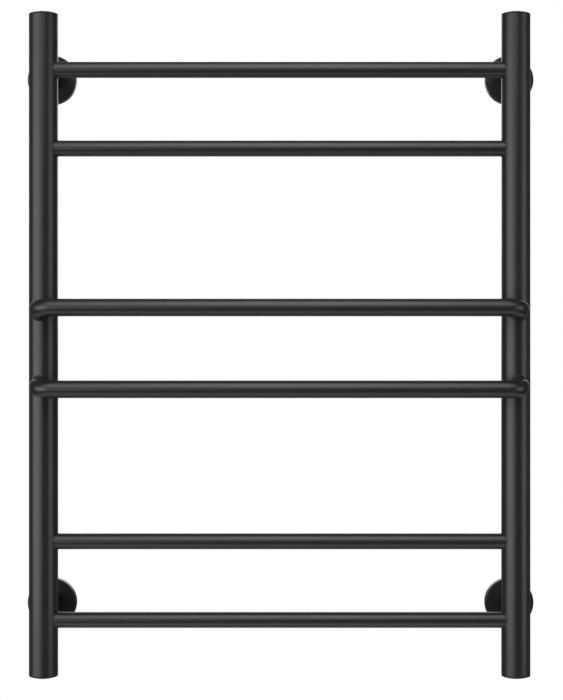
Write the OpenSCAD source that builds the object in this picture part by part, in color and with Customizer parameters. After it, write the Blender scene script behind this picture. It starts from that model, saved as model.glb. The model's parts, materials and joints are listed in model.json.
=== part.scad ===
// Wall-hung electric towel warmer: a ladder of black tube with two bars set forward,
// held on four posts that push over spigots on the wall.
// Axes: origin on the wall at the centre of the four wall plates, X to the right,
// Z up, and the room on the -Y side.

/* [Uprights] */
// Distance between the axes of the two uprights
upright_pitch = 490; // [400:1:640]
// Length of an upright's tube, without its caps
upright_length = 684; // [540:1:900]
// Outside diameter of an upright
upright_d = 30; // [27:0.5:36]
// Wall of an upright
upright_wall = 1.5; // [1:0.1:2]
// Distance from the wall to the uprights' axes
wall_gap = 70; // [58:1:100]
// How far the ladder's middle hangs below the middle of the wall plates
ladder_drop = 4; // [0:0.5:8]

/* [End caps] */
// Height of a cap's straight rim
cap_rim = 1.2; // [0.8:0.1:3]
// Height of a cap's dome above its rim
cap_dome = 2.8; // [1:0.1:4]
// Length of the plug that a cap holds in its tube
cap_plug = 8; // [7:0.5:10]
// Bevel on each edge of the seam between a cap and its tube
seam_bevel = 0.4; // [0.2:0.1:0.8]

/* [Rungs] */
// Outside diameter of a rung
rung_d = 16.5; // [14:0.1:20]
// Wall of a rung
rung_wall = 1.2; // [0.8:0.1:2]
// Distance from an upright's end to the nearest rung's axis
rung_inset = 57; // [46:0.5:80]
// Distance between the two rungs of a pair
rung_pitch = 81.5; // [60:0.5:100]
// How far the rungs stand in front of the uprights' axes
rung_forward = 2; // [0:0.5:3]

/* [Front rails] */
// Outside diameter of a front rail
rail_d = 18; // [15:0.5:22]
// Wall of a front rail
rail_wall = 1.2; // [0.8:0.1:2]
// How far the rails stand in front of the uprights' axes
rail_forward = 41; // [38:0.5:60]
// Distance between the two rails
rail_pitch = 83; // [60:0.5:120]
// How far each rail leans away from its roots on the uprights
rail_lean = 4.2; // [0:0.1:6]
// How far the pair of rails sits below the ladder's middle
rail_drop = 3.5; // [0:0.5:10]
// How far outside an upright's axis a rail's leg meets it
rail_spread = 1.8; // [0:0.1:3]
// Radius of a rail's bend, at the middle of its tube
rail_bend = 14; // [11:0.5:27]

/* [Wall brackets] */
// Distance from an upright's end to the nearest wall plate's axis, before the drop
bracket_inset = 62; // [50:0.5:120]
// Outside diameter of a post
post_d = 20; // [18:0.5:24]
// Outside diameter of a spigot, which the post slides over
spigot_d = 11; // [10:0.1:14]
// Bore of a spigot
spigot_bore = 7.6; // [6.4:0.1:9]
// How far a spigot stands out from the wall
spigot_length = 30; // [24:0.5:40]
// Clearance between a wall plate and the inside of its rosette
plate_gap = 2.5; // [0.5:0.1:4]
// Thickness of a wall plate
plate_t = 3; // [2:0.1:3.6]
// Distance between a wall plate's two screw holes
screw_spacing = 30; // [28:0.5:32]
// Diameter of a wall screw's hole
screw_hole_d = 4.5; // [4:0.1:6]

/* [Rosettes] */
// Diameter of a rosette
rosette_d = 52; // [50:0.5:60]
// Depth of a rosette, from the wall to its face
rosette_depth = 10; // [8.5:0.5:14]
// Sheet thickness of a rosette
rosette_wall = 1.5; // [1:0.1:2]
// Rounding of the edge of a rosette's face
rosette_edge = 1.2; // [0.5:0.1:2]

/* [Clamping screws] */
// Thread diameter of a grub screw
grub_d = 5; // [4:0.5:6]
// Width across the flats of a grub screw's hexagon socket
grub_key = 2.5; // [2:0.5:3]
// Distance from the wall to the grub screws
grub_from_wall = 14; // [12:0.5:18]

/* [Heating cable] */
// Diameter of the heating cable
cable_d = 3.5; // [3:0.1:4]
// Diameter of the cold lead
lead_d = 5; // [4:0.1:5.4]
// Diameter of the joint sleeve between the lead and the heating cable
sleeve_d = 8; // [7:0.1:8.6]
// Length of the joint sleeve
sleeve_length = 26; // [20:1:30]
// Length of the thermal limiter
limiter_length = 18; // [12:1:20]
// Clearance between the supply connector and the spigot's bore
connector_gap = 0.3; // [0.2:0.05:0.5]
// Length of the supply connector
connector_length = 14; // [10:1:16]

/* [Hidden] */
$fn = 96;
LEFT = -1;
RIGHT = 1;
TOP = 1;
BOTTOM = -1;
FIT_GAP = 0.05;        // gap on each side of pieces that slide or press together
WELD_GAP = 0.05;       // gap between a coped tube end and the tube it is welded to
EDGE_BEVEL = 0.5;      // bevel on the ends of turned pieces
GROOVE_GAP = 0.1;      // room around a rubber ring in its groove
PAST = 1;              // how far a cutter reaches past what it cuts

upright_r = upright_d / 2;
upright_bore_r = upright_r - upright_wall;
rung_bore_r = rung_d / 2 - rung_wall;
rail_bore_r = rail_d / 2 - rail_wall;
outer_rung_z = upright_length / 2 - rung_inset;
rung_z = [outer_rung_z, outer_rung_z - rung_pitch,
          rung_pitch - outer_rung_z, -outer_rung_z];
half_pitch = upright_pitch / 2;
bracket_spacing = upright_length - 2 * bracket_inset;

// A rail leans by rail_lean between the front of the upright and its own axis.
lean_angle = atan(rail_lean / (rail_forward - upright_r));
rail_reach = rail_forward / cos(lean_angle);
leg_x = half_pitch + rail_spread;

cap_plug_r = upright_bore_r - FIT_GAP;
cap_ring_section_d = 1.4;
cap_ring_depth = cap_plug / 2;

plate_d = rosette_d - 2 * (rosette_wall + plate_gap);
collar_margin = 3.5;                     // how far a spigot's collar stands out
collar_d = spigot_d + 2 * collar_margin;
collar_t = 1;
post_in_rosette = 4;                     // how far a post reaches in behind the face
post_back = rosette_depth - post_in_rosette;
post_bore_r = spigot_d / 2 + FIT_GAP;
grub_recess = 0.4;                       // how far a grub screw sits under the surface
grub_socket_depth = 2;

rosette_hole_r = post_d / 2 + 2 * FIT_GAP;
hub_wall = 3.5;                          // hub that holds the ring around the post
hub_length = 5;
ring_section_d = 1.6;
ring_from_face = post_in_rosette - EDGE_BEVEL - ring_section_d / 2;

// Inside the right upright the riser runs behind and outside the axis. The runs
// between the bars keep in front and inside, so that they pass each other.
riser = [4, 4];
run_right = [-2, -rung_forward];
run_left = [2, -rung_forward];
run_bend = 8;
seal_length = 20;
seal_margin = 1;                         // wall of the end seal
seal_top = -outer_rung_z - 15;           // a tail of 15 mm below the last rung

lead_hole_d = lead_d + 4;
lead_rise = 18;                          // from the way in up to the joint sleeve
lead_turn = [-2, 0];                     // the lead's corner, measured from the riser
sleeve_bottom = bracket_z(BOTTOM) + lead_rise;
sleeve_top = sleeve_bottom + sleeve_length;
sleeve_wall = 0.7;
limiter_top = sleeve_top + limiter_length;
crimp_d = 2.2;
crimp_length = 10;
crimp_circle_r = 1.6;

connector_d = spigot_bore - 2 * connector_gap;
connector_recess = 2;                    // how far it sits inside the spigot
pin_hole_d = 1.5;
pin_circle_r = 1.8;
pin_hole_depth = 6;

plug_top = -upright_length / 2 + cap_plug;
earth_wire_d = 1.8;
earth_wire_gap = 0.2;                    // between the earth wire and the cold lead
earth_wire_at = riser
    + unit([1, -1]) * ((lead_d + earth_wire_d) / 2 + earth_wire_gap);
earth_barrel_d = 2.6;
earth_barrel_h = 6;
earth_ring_margin = 2;                   // width of the terminal's ring
earth_tab_t = 0.8;
earth_tab_w = 3;
earth_screw_d = 4;
earth_screw_depth = 5;                   // how far it reaches into the cap's plug
earth_head_d = 7;
earth_head_h = 2.4;
earth_slot_w = 1;
earth_slot_depth = 1.2;

CORNERS = [["top_left", LEFT, TOP], ["top_right", RIGHT, TOP],
           ["bottom_left", LEFT, BOTTOM], ["bottom_right", RIGHT, BOTTOM]];
CORNER_PIECES = ["cap", "post", "rosette", "rosette_ring", "wall_plate", "spigot"];
RUNG_NAMES = ["top_rung", "second_rung", "fifth_rung", "bottom_rung"];
SINGLES = ["left_upright", "right_upright", "upper_front_rail", "lower_front_rail",
           "cap_rings", "grub_screws", "heating_cable", "cable_end_seal",
           "thermal_limiter", "joint_sleeve", "crimp_barrels", "cold_lead",
           "supply_connector", "earth_wire", "earth_terminal", "earth_screw"];

// ---- places -------------------------------------------------------------

// Height of a bracket, measured from the ladder's middle
function bracket_z(end) = end * bracket_spacing / 2 + ladder_drop;

// Height of a rail's axis, and of its root on the uprights' axes
function rail_z(end) = end * rail_pitch / 2 - rail_drop;
function rail_root_z(end) = rail_z(end) - end * rail_forward * tan(lean_angle);

// Children are drawn about the ladder's middle, on the uprights' axes.
module at_ladder() translate([0, -wall_gap, -ladder_drop]) children();

// Children are drawn about a bracket's axis, with the wall at z = 0 and the room up.
module at_bracket(side, end)
    translate([side * half_pitch, 0, end * bracket_spacing / 2])
        rotate([90, 0, 0]) children();

// ---- shared shapes ------------------------------------------------------

module tube(r_out, r_in, h) {
    difference() {
        cylinder(r = r_out, h = h);
        translate([0, 0, -PAST]) cylinder(r = r_in, h = h + 2 * PAST);
    }
}

module torus(r_mid, section_d) {
    rotate_extrude() translate([r_mid, 0]) circle(d = section_d);
}

module both_uprights(r) {
    for (side = [LEFT, RIGHT])
        translate([side * half_pitch, 0, -upright_length / 2])
            cylinder(r = r, h = upright_length);
}

// A straight bar that reaches the uprights' axes, of radius r
module rung_core(z, r) {
    translate([-half_pitch, -rung_forward, z]) rotate([0, 90, 0])
        cylinder(r = r, h = upright_pitch);
}

// A bar with a bend and a leg at each end, lying flat with its legs towards +Y
module rail_core(r) {
    span = 2 * (leg_x - rail_bend);
    translate([-span / 2, -rail_reach, 0]) rotate([0, 90, 0]) cylinder(r = r, h = span);
    for (side = [LEFT, RIGHT]) {
        translate([side * span / 2, rail_bend - rail_reach, 0])
            rotate([0, 0, side == RIGHT ? -90 : 180])
                rotate_extrude(angle = 90) translate([rail_bend, 0]) circle(r = r);
        translate([side * leg_x, 0, 0]) rotate([90, 0, 0])
            cylinder(r = r, h = rail_reach - rail_bend);
    }
}

module at_rail(end) {
    translate([0, 0, rail_root_z(end)]) rotate([-end * lean_angle, 0, 0]) children();
}

// ---- swept cables -------------------------------------------------------

function unit(v) = v / norm(v);

// The arc of radius r that rounds the corner b of the route a, b, c
function corner_arc(a, b, c, r, steps = 5) =
    let (u = unit(a - b), v = unit(c - b), half = acos(u * v) / 2,
         centre = b + unit(u + v) * r / sin(half),
         from = b + u * r / tan(half) - centre,
         to = b + v * r / tan(half) - centre,
         turn = 180 - 2 * half)
    [for (i = [0 : steps])
        let (t = i / steps)
        centre + (sin((1 - t) * turn) * from + sin(t * turn) * to) / sin(turn)];

// A route is a list of [point, corner radius]; its ends have no corner.
function rounded(route) =
    let (last = len(route) - 1)
    concat([route[0][0]],
           [for (i = [1 : last - 1])
               each corner_arc(route[i - 1][0], route[i][0], route[i + 1][0], route[i][1])],
           [route[last][0]]);

function heading(path, i) =
    unit(path[min(i + 1, len(path) - 1)] - path[max(i - 1, 0)]);

function square_to(v, t) = unit(v - (v * t) * t);

// One normal for each point, each turned as little as possible from the last
function normals(path, first) =
    [for (i = 0, n = square_to(first, heading(path, 0)); i < len(path);
          i = i + 1, n = i < len(path) ? square_to(n, heading(path, i)) : n) n];

module swept(path, d, first, sides = 8) {
    n = normals(path, first);
    rings = [for (i = [0 : len(path) - 1])
        let (side_way = cross(heading(path, i), n[i]))
        for (k = [0 : sides - 1])
            let (a = 360 * k / sides)
            path[i] + d / 2 * (cos(a) * n[i] + sin(a) * side_way)];
    walls = [for (i = [0 : len(path) - 2]) for (k = [0 : sides - 1])
        let (a = i * sides + k, b = i * sides + (k + 1) % sides)
        [a, a + sides, b + sides, b]];
    first_end = [for (k = [0 : sides - 1]) k];
    last_end = [for (k = [sides - 1 : -1 : 0]) (len(path) - 1) * sides + k];
    polyhedron(points = rings, faces = concat(walls, [first_end, last_end]));
}

// ---- uprights, caps and bars --------------------------------------------

module upright(side) {
    color("#2a2a2a") at_ladder() difference() {
        translate([side * half_pitch, 0, -upright_length / 2])
            rotate_extrude() polygon([
                [upright_bore_r, 0],
                [upright_r - seam_bevel, 0],
                [upright_r, seam_bevel],
                [upright_r, upright_length - seam_bevel],
                [upright_r - seam_bevel, upright_length],
                [upright_bore_r, upright_length]]);
        for (z = rung_z)
            translate([side * half_pitch, -rung_forward, z]) rotate([0, -90 * side, 0])
                cylinder(r = rung_bore_r, h = upright_d);
        for (end = [TOP, BOTTOM])
            at_rail(end) translate([side * leg_x, 0, 0]) rotate([90, 0, 0])
                cylinder(r = rail_bore_r, h = upright_d);
        if (side == RIGHT)
            translate([half_pitch, 0, bracket_z(BOTTOM)]) rotate([-90, 0, 0])
                cylinder(d = lead_hole_d, h = upright_d);
    }
}

module rung(z) {
    color("#2a2a2a") at_ladder() difference() {
        rung_core(z, rung_d / 2);
        rung_core(z, rung_bore_r);
        both_uprights(upright_r + WELD_GAP);
    }
}

module front_rail(end) {
    color("#2a2a2a") at_ladder() difference() {
        at_rail(end) rail_core(rail_d / 2);
        at_rail(end) rail_core(rail_bore_r);
        both_uprights(upright_r + WELD_GAP);
    }
}

// Children are drawn on the end of an upright, with the outside of the tube up.
module at_tube_end(side, end) {
    at_ladder() translate([side * half_pitch, 0, end * upright_length / 2])
        mirror([0, 0, end == TOP ? 0 : 1]) children();
}

module cap(side, end) {
    dome_r = (upright_r ^ 2 + cap_dome ^ 2) / (2 * cap_dome);
    color("#262626") at_tube_end(side, end) difference() {
        union() {
            cylinder(r1 = upright_r - seam_bevel, r2 = upright_r, h = seam_bevel);
            translate([0, 0, seam_bevel]) intersection() {
                cylinder(r = upright_r, h = cap_rim + cap_dome);
                translate([0, 0, cap_rim + cap_dome - seam_bevel - dome_r])
                    sphere(r = dome_r, $fn = 360);
            }
            translate([0, 0, -cap_plug]) cylinder(r = cap_plug_r, h = cap_plug);
        }
        translate([0, 0, -cap_ring_depth])
            groove(cap_plug_r - cap_ring_section_d, upright_r, cap_ring_section_d);
        if (side == RIGHT && end == BOTTOM)
            translate([0, 0, -cap_plug - PAST])
                cylinder(d = earth_screw_d + 2 * FIT_GAP,
                         h = earth_screw_depth + 2 * PAST);
    }
}

// The cutter of a groove for a rubber ring, about the ring's own middle
module groove(r_in, r_out, section_d) {
    h = section_d + 2 * GROOVE_GAP;
    translate([0, 0, -h / 2]) tube(r_out, r_in, h);
}

module cap_rings() {
    color("#151515") for (c = CORNERS)
        at_tube_end(c[1], c[2]) translate([0, 0, -cap_ring_depth])
            torus(cap_plug_r - cap_ring_section_d / 2, cap_ring_section_d - FIT_GAP);
}

// ---- wall brackets ------------------------------------------------------

module post(side, end) {
    color("#2a2a2a") difference() {
        at_bracket(side, end) translate([0, 0, post_back]) {
            difference() {
                union() {
                    cylinder(r1 = post_d / 2 - EDGE_BEVEL, r2 = post_d / 2,
                             h = EDGE_BEVEL);
                    translate([0, 0, EDGE_BEVEL])
                        cylinder(d = post_d, h = wall_gap - post_back - EDGE_BEVEL);
                }
                translate([0, 0, -PAST]) cylinder(r = post_bore_r, h = wall_gap);
            }
        }
        at_ladder() both_uprights(upright_r + WELD_GAP);
        at_bracket(side, end) translate([0, 0, grub_from_wall]) rotate([90, 0, 0])
            cylinder(d = grub_d + 2 * FIT_GAP, h = post_d);
    }
}

module grub_screws() {
    tip = post_bore_r;
    head = post_d / 2 - grub_recess;
    color("#3a3a3c") for (c = CORNERS)
        at_bracket(c[1], c[2]) translate([0, 0, grub_from_wall]) rotate([90, 0, 0])
            difference() {
                union() {
                    translate([0, 0, tip])
                        cylinder(r1 = grub_d / 2 - EDGE_BEVEL, r2 = grub_d / 2,
                                 h = EDGE_BEVEL);
                    translate([0, 0, tip + EDGE_BEVEL])
                        cylinder(d = grub_d, h = head - tip - EDGE_BEVEL);
                }
                translate([0, 0, head - grub_socket_depth])
                    cylinder(d = grub_key / cos(30), h = grub_socket_depth + PAST, $fn = 6);
            }
}

module wall_plate(side, end) {
    color("#b8babd") at_bracket(side, end) difference() {
        cylinder(d = plate_d, h = plate_t);
        translate([0, 0, -PAST])
            cylinder(d = spigot_d + 2 * FIT_GAP, h = plate_t + 2 * PAST);
        for (x = [-1, 1] * screw_spacing / 2)
            translate([x, 0, -PAST]) cylinder(d = screw_hole_d, h = plate_t + 2 * PAST);
    }
}

module spigot(side, end) {
    color("#c2c4c6") at_bracket(side, end) difference() {
        union() {
            cylinder(d = spigot_d, h = spigot_length - EDGE_BEVEL);
            translate([0, 0, spigot_length - EDGE_BEVEL])
                cylinder(d1 = spigot_d, d2 = spigot_d - 2 * EDGE_BEVEL, h = EDGE_BEVEL);
            translate([0, 0, plate_t]) cylinder(d = collar_d, h = collar_t);
        }
        translate([0, 0, -PAST]) cylinder(d = spigot_bore, h = spigot_length + 2 * PAST);
    }
}

module rosette(side, end) {
    r = rosette_d / 2;
    hub_r = rosette_hole_r + hub_wall;
    hub_back = rosette_depth - hub_length;
    round_edge = [for (a = [0 : 15 : 90])
        [r - rosette_edge + rosette_edge * cos(a),
         rosette_depth - rosette_edge + rosette_edge * sin(a)]];
    color("#2a2a2a") at_bracket(side, end) difference() {
        rotate_extrude() polygon(concat(
            [[r, 0]],
            round_edge,
            [[rosette_hole_r, rosette_depth],
             [rosette_hole_r, hub_back],
             [hub_r, hub_back],
             [hub_r, rosette_depth - rosette_wall],
             [r - rosette_wall, rosette_depth - rosette_wall],
             [r - rosette_wall, 0]]));
        translate([0, 0, rosette_depth - ring_from_face])
            groove(rosette_hole_r - PAST, post_d / 2 + ring_section_d + GROOVE_GAP,
                   ring_section_d);
    }
}

module rosette_ring(side, end) {
    color("#151515") at_bracket(side, end)
        translate([0, 0, rosette_depth - ring_from_face])
            torus((post_d + ring_section_d) / 2 + FIT_GAP, ring_section_d);
}

// ---- heating cable and wiring -------------------------------------------

function in_upright(side, offset, z) =
    [side * half_pitch + offset[0], offset[1], z];

// The cable climbs the right upright, then crosses every bar on its way down.
function cable_route() = [
    [in_upright(RIGHT, riser, limiter_top), 0],
    [in_upright(RIGHT, riser, rung_z[0]), run_bend],
    [in_upright(RIGHT, [-upright_bore_r, -rung_forward], rung_z[0]), run_bend],
    [in_upright(LEFT, run_left, rung_z[0]), run_bend],
    [in_upright(LEFT, run_left, rung_z[1]), run_bend],
    [in_upright(RIGHT, run_right, rung_z[1]), run_bend],
    each rail_route(TOP, RIGHT),
    each rail_route(BOTTOM, LEFT),
    [in_upright(RIGHT, run_right, rung_z[2]), run_bend],
    [in_upright(LEFT, run_left, rung_z[2]), run_bend],
    [in_upright(LEFT, run_left, rung_z[3]), run_bend],
    [in_upright(RIGHT, run_right, rung_z[3]), run_bend],
    [in_upright(RIGHT, run_right, seal_top), 0]];

function rail_route(end, from) = [
    [[from * leg_x, 0, rail_root_z(end)], run_bend],
    [[from * leg_x, -rail_forward, rail_z(end)], rail_bend],
    [[-from * leg_x, -rail_forward, rail_z(end)], rail_bend],
    [[-from * leg_x, 0, rail_root_z(end)], run_bend]];

module heating_cable() {
    color("#8c3b2e") at_ladder() swept(rounded(cable_route()), cable_d, [1, 0, 0]);
}

module cable_end_seal() {
    color("#1c1c1c") at_ladder()
        translate(in_upright(RIGHT, run_right, seal_top - seal_length))
            cylinder(d = cable_d + 2 * seal_margin, h = seal_length);
}

module thermal_limiter() {
    color("#d8d4c4") at_ladder() translate(in_upright(RIGHT, riser, sleeve_top))
        cylinder(d = sleeve_d - 2 * EDGE_BEVEL, h = limiter_length);
}

module joint_sleeve() {
    color("#1c1c1c") at_ladder() translate(in_upright(RIGHT, riser, sleeve_bottom))
        tube(sleeve_d / 2, sleeve_d / 2 - sleeve_wall, sleeve_length);
}

module crimp_barrels() {
    color("#c9c9c4") at_ladder()
        translate(in_upright(RIGHT, riser, (sleeve_bottom + sleeve_top - crimp_length) / 2))
            for (a = [0 : 120 : 240]) rotate([0, 0, a])
                translate([crimp_circle_r, 0, 0]) cylinder(d = crimp_d, h = crimp_length);
}

module cold_lead() {
    z = bracket_z(BOTTOM);
    color("#202020") at_ladder() swept(rounded([
        [[half_pitch, wall_gap - connector_recess - connector_length, z], 0],
        [[half_pitch, upright_r + lead_d, z], run_bend],
        [in_upright(RIGHT, riser + lead_turn, z), run_bend],
        [in_upright(RIGHT, riser, sleeve_bottom), 0]]), lead_d, [1, 0, 0], 12);
}

module supply_connector() {
    color("#e4e2dc") at_bracket(RIGHT, BOTTOM)
        translate([0, 0, connector_recess]) difference() {
            cylinder(d = connector_d, h = connector_length);
            for (a = [90 : 120 : 330]) rotate([0, 0, a])
                translate([pin_circle_r, 0, -PAST])
                    cylinder(d = pin_hole_d, h = pin_hole_depth + PAST, $fn = 24);
        }
}

module earth_wire() {
    color("#6aa030") at_ladder()
        translate(in_upright(RIGHT, earth_wire_at, plug_top + earth_barrel_h))
            cylinder(d = earth_wire_d, h = sleeve_bottom - plug_top - earth_barrel_h);
}

module earth_terminal() {
    tab = norm(earth_wire_at);
    color("#c9c9c4") at_ladder() translate(in_upright(RIGHT, [0, 0], plug_top))
        rotate([0, 0, atan2(earth_wire_at[1], earth_wire_at[0])]) difference() {
            union() {
                cylinder(d = earth_screw_d + 2 * earth_ring_margin, h = earth_tab_t);
                translate([0, -earth_tab_w / 2, 0]) cube([tab, earth_tab_w, earth_tab_t]);
                translate([tab, 0, 0]) cylinder(d = earth_barrel_d, h = earth_barrel_h);
            }
            translate([0, 0, -PAST])
                cylinder(d = earth_screw_d + 2 * FIT_GAP, h = earth_tab_t + 2 * PAST);
        }
}

module earth_screw() {
    color("#c9b36a") at_ladder()
        translate(in_upright(RIGHT, [0, 0], plug_top)) difference() {
            union() {
                translate([0, 0, -earth_screw_depth])
                    cylinder(d = earth_screw_d, h = earth_screw_depth + earth_tab_t);
                translate([0, 0, earth_tab_t]) cylinder(d = earth_head_d, h = earth_head_h);
            }
            translate([-earth_slot_w / 2, -earth_head_d,
                       earth_tab_t + earth_head_h - earth_slot_depth])
                cube([earth_slot_w, 2 * earth_head_d, earth_slot_depth + PAST]);
        }
}

// ---- what is drawn ------------------------------------------------------

upright(LEFT);  // left_upright
upright(RIGHT);  // right_upright
front_rail(TOP);  // upper_front_rail
front_rail(BOTTOM);  // lower_front_rail
cap_rings();
grub_screws();
heating_cable();
cable_end_seal();
thermal_limiter();
joint_sleeve();
crimp_barrels();
cold_lead();
supply_connector();
earth_wire();
earth_terminal();
earth_screw();
for (i = [0 : 3])
    rung(rung_z[i]);
for (c = CORNERS) {
    cap(c[1], c[2]);
    post(c[1], c[2]);
    rosette(c[1], c[2]);
    rosette_ring(c[1], c[2]);
    wall_plate(c[1], c[2]);
    spigot(c[1], c[2]);
}
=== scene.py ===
"""Shows the wall-hung towel warmer in its finishes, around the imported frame."""

import json
import math

import bmesh
import bpy
from bpy.props import FloatProperty, FloatVectorProperty, IntProperty, PointerProperty
from mathutils import Matrix, Vector


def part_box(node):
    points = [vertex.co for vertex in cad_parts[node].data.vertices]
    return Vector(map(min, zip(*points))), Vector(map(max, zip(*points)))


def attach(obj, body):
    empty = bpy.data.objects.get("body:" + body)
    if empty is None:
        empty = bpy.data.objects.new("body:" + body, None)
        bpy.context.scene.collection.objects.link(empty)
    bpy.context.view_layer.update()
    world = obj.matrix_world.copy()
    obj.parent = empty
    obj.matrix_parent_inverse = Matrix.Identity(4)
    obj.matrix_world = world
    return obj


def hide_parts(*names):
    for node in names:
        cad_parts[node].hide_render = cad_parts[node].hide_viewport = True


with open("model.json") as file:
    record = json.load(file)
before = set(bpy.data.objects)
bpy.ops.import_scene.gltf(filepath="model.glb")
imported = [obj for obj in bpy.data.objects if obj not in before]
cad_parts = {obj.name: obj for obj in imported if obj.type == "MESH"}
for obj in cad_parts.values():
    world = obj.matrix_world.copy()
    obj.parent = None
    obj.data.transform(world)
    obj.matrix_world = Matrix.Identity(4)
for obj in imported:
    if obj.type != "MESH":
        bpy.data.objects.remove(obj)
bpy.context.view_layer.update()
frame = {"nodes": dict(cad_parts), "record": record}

bl_info = {
    "name": "Towel Warmer Rack",
    "version": (1, 0, 0),
    "blender": (4, 5, 0),
    "location": "3D View > Sidebar > Towel Rack",
    "description": "Builds a ladder-shaped electric towel warmer in black powder coat",
    "category": "Add Mesh",
}

MM = 0.001
CORNERS = ("top_left", "top_right", "bottom_left", "bottom_right")
RUNGS = ("top_rung", "second_rung", "fifth_rung", "bottom_rung")
RAILS = (("upper_front_rail", 1), ("lower_front_rail", -1))
SMOOTH_BELOW = math.radians(32)      # edges flatter than this are shaded as one surface
SINK = 0.25 * MM                     # how far a coped end goes into the tube it meets
SAME_POINT = 0.001 * MM              # points nearer than this are one point
RUNG_CUTS = 21                       # rings of points along a rung
BEND_STEPS = 28                      # points round a bend of a front rail
SEAM_POINTS = 96                     # points round the line where two tubes meet
ROSETTE_SIDES = 160                  # faces round a rosette
RING_SIDES = 64                      # faces round a rosette's rubber ring
SPIGOT_SIDES = 72                    # faces round a spigot
SCREW_SIDES = 36                     # faces round a grub screw
NOISE_LOW, NOISE_HIGH = 0.3, 0.7     # where most of a noise texture's values lie
WAVE_PERIOD = 0.314                  # spacing of a wave texture's bands at scale 1


# ---- places that come from the frame ----

def middle(node):
    low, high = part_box(node)
    return (low + high) / 2


def size(node):
    low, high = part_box(node)
    return high - low


def upright_axis(side):
    """The middle of an upright's axis; side is -1 on the left and 1 on the right."""
    return middle("left_upright" if side < 0 else "right_upright")


UPRIGHT_R = size("right_upright").x / 2
UPRIGHT_LENGTH = size("right_upright").z
HALF_PITCH = middle("right_upright").x
AXIS_Y = middle("right_upright").y
RUNG_R = size("top_rung").z / 2
LEG_OUTSET = 1.8 * MM                # how far a rail's leg stands outside an upright's axis
LEG_X = HALF_PITCH + LEG_OUTSET
RAIL_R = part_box("upper_front_rail")[1].x - LEG_X
RAIL_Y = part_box("upper_front_rail")[0].y + RAIL_R
POST_R = size("top_left_post").x / 2
SPIGOT_LENGTH = size("top_left_spigot").y
PLATE_R = size("top_left_wall_plate").x / 2
PLATE_T = size("top_left_wall_plate").y
ROSETTE_R = size("top_left_rosette").x / 2
ROSETTE_DEPTH = size("top_left_rosette").y
RING_R = size("top_left_rosette_ring").x / 2
RING_SECTION_R = size("top_left_rosette_ring").y / 2


def side_of(corner):
    return -1 if corner.endswith("left") else 1


def end_of(corner):
    return 1 if corner.startswith("top") else -1


def bracket_place(corner):
    """Turns a shape made along +Z so that +Z points from the wall into the room."""
    place = middle(corner + "_wall_plate")
    return Matrix.Translation((place.x, 0, place.z)) @ Matrix.Rotation(math.pi / 2, 4, "X")


# ---- small helpers ----

def linear(hex_colour):
    """An sRGB hex colour as linear red, green, blue and alpha."""
    channels = [int(hex_colour[i:i + 2], 16) / 255 for i in (1, 3, 5)]
    return tuple(c / 12.92 if c <= 0.04045 else ((c + 0.055) / 1.055) ** 2.4
                 for c in channels) + (1.0,)


def add(tree, kind, sockets=None, **settings):
    """Adds a node, sets its properties, and fills or links its input sockets."""
    node = tree.nodes.new(kind)
    for key, value in settings.items():
        setattr(node, key, value)
    for key, value in (sockets or {}).items():
        if isinstance(value, bpy.types.NodeSocket):
            tree.links.new(value, node.inputs[key])
        else:
            node.inputs[key].default_value = value
    return node


def put(name, mesh, material=None):
    """Links a mesh as an object at the origin, shaded smooth across its flat edges."""
    made = bpy.data.objects.new(name, mesh)
    bpy.context.scene.collection.objects.link(made)
    if material:
        mesh.materials.append(material)
    mesh.shade_smooth()
    mesh.set_sharp_from_angle(angle=SMOOTH_BELOW)
    return made


def hand_over(piece, body, slot, *nodes):
    """The piece rides on a body and stands for nodes, which are hidden; the slot is not used.
    """
    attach(piece, body)
    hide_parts(*nodes)


def arc(centre, radius, start, end, steps):
    """Points (radius, height) on an arc; angles in degrees, 0 outwards and 90 up."""
    return [(centre[0] + radius * math.cos(math.radians(start + (end - start) * i / steps)),
             centre[1] + radius * math.sin(math.radians(start + (end - start) * i / steps)))
            for i in range(steps + 1)]


def turned(name, profile, place, sides, closed=False):
    """A mesh turned about Z from points (radius, height), then put in its place.

    A radius or a height may be a function of the angle round the axis. A radius of
    zero is a pole. The profile runs so that the solid is on its left.
    """
    points, rings = [], []
    for radius, height in profile:
        if radius == 0:
            rings.append([len(points)] * sides)
            points.append((0, 0, height))
            continue
        rings.append(list(range(len(points), len(points) + sides)))
        for i in range(sides):
            angle = math.tau * i / sides
            r = radius(angle) if callable(radius) else radius
            h = height(angle) if callable(height) else height
            points.append((r * math.cos(angle), r * math.sin(angle), h))
    faces = []
    pairs = list(zip(rings, rings[1:] + rings[:1] if closed else rings[1:]))
    for low, high in pairs:
        for i in range(sides):
            j = (i + 1) % sides
            face = dict.fromkeys((low[i], low[j], high[j], high[i]))
            faces.append(list(face))
    mesh = bpy.data.meshes.new(name)
    mesh.from_pydata([place @ Vector(p) for p in points], [], faces)
    mesh.validate()
    return mesh


def close_seams(mesh):
    """Merges points that lie on each other, and turns every face outwards."""
    work = bmesh.new()
    work.from_mesh(mesh)
    bmesh.ops.remove_doubles(work, verts=work.verts, dist=SAME_POINT)
    bmesh.ops.recalc_face_normals(work, faces=work.faces)
    work.to_mesh(mesh)
    work.free()


def polyline(name, points):
    """A mesh of edges only, for a tree to sweep along."""
    edges = [(i, i + 1) for i in range(len(points) - 1)]
    mesh = bpy.data.meshes.new(name)
    mesh.from_pydata(points, edges, [])
    return mesh


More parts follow.
